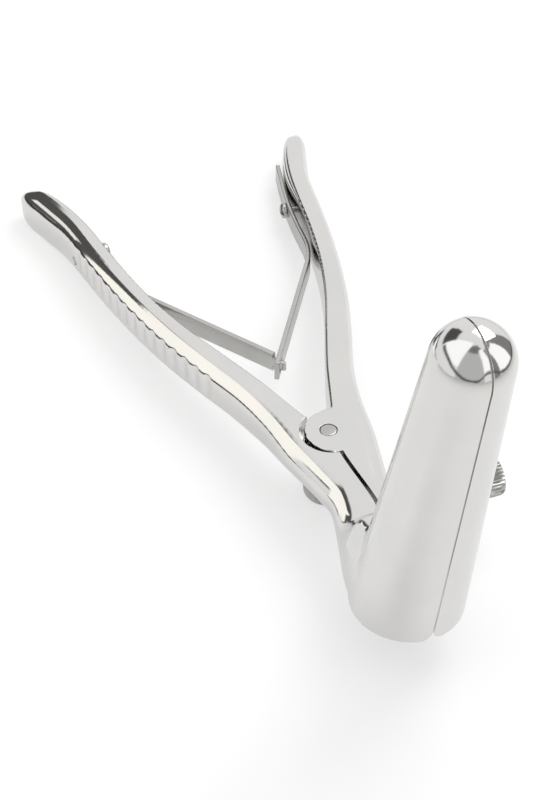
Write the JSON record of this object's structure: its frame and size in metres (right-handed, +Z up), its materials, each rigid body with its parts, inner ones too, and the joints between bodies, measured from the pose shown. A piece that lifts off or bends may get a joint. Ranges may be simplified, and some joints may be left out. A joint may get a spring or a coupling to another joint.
{
  "type": "rectal speculum",
  "caption": "Hinged speculum with sprung plier handles that open half-round blades closing into a tapered round-ended tube.",
  "frame": {"origin": "centre of the bounding box's base, on the table that the instrument rests on", "axes": "+Z up, +Y from the handles towards the blades, +X towards the lever that carries the bolt and nut; the levers' own plane is tilted about X by the resting angle"},
  "size_m": [0.0926, 0.2142, 0.1161],
  "materials": {
    "polished_steel": "bright satin polish",
    "spring_steel": "plain satin",
    "screw_steel": "turned and knurled"
  },
  "bodies": {
    "left_lever": {"lever_left": "polished_steel", "pivot_bolt": "screw_steel", "spring_strap_left": "spring_steel", "spring_screw_left": "screw_steel"},
    "right_lever": {"lever_right": "polished_steel", "spring_strap_right": "spring_steel", "spring_screw_right": "screw_steel"},
    "left_leaf": {"spring_leaf_left": "spring_steel"},
    "right_leaf": {"spring_leaf_right": "spring_steel"},
    "nut": {"pivot_nut": "screw_steel"},
    "spreader": {"spreader_screw": "screw_steel"}
  },
  "joints": [
    {"name": "squeeze", "type": "hinge", "parent": "left_lever", "child": "right_lever", "pos_m": [0, 0.03064, 0.02196], "axis": [0, -0.07, 0.9975], "range_deg": [0, 26], "stiffness_Nm_per_rad": 1.5, "springref_deg": -8.59},
    {"name": "left_leaf_flex", "type": "hinge", "parent": "left_lever", "child": "left_leaf", "pos_m": [0.02681, -0.04861, 0.00838], "axis": [0, -0.07, 0.9975], "range_deg": [-10.4, 0]},
    {"name": "right_leaf_flex", "type": "hinge", "parent": "right_lever", "child": "right_leaf", "pos_m": [-0.02681, -0.04861, 0.00838], "axis": [0, -0.07, 0.9975], "range_deg": [0, 10.4]},
    {"name": "nut_turn", "type": "hinge", "parent": "left_lever", "child": "nut", "pos_m": [0, 0.03148, 0.00999], "axis": [0, -0.07, 0.9975], "continuous": true},
    {"name": "spreader_travel", "type": "slide", "parent": "right_lever", "child": "spreader", "axis": [1, 0, 0], "range_m": [-0.0025, 0.0034]}
  ],
  "couplings": [
    {"joint": "left_leaf_flex", "follows": "squeeze", "ratio": -0.392},
    {"joint": "right_leaf_flex", "follows": "squeeze", "ratio": 0.392}
  ]
}
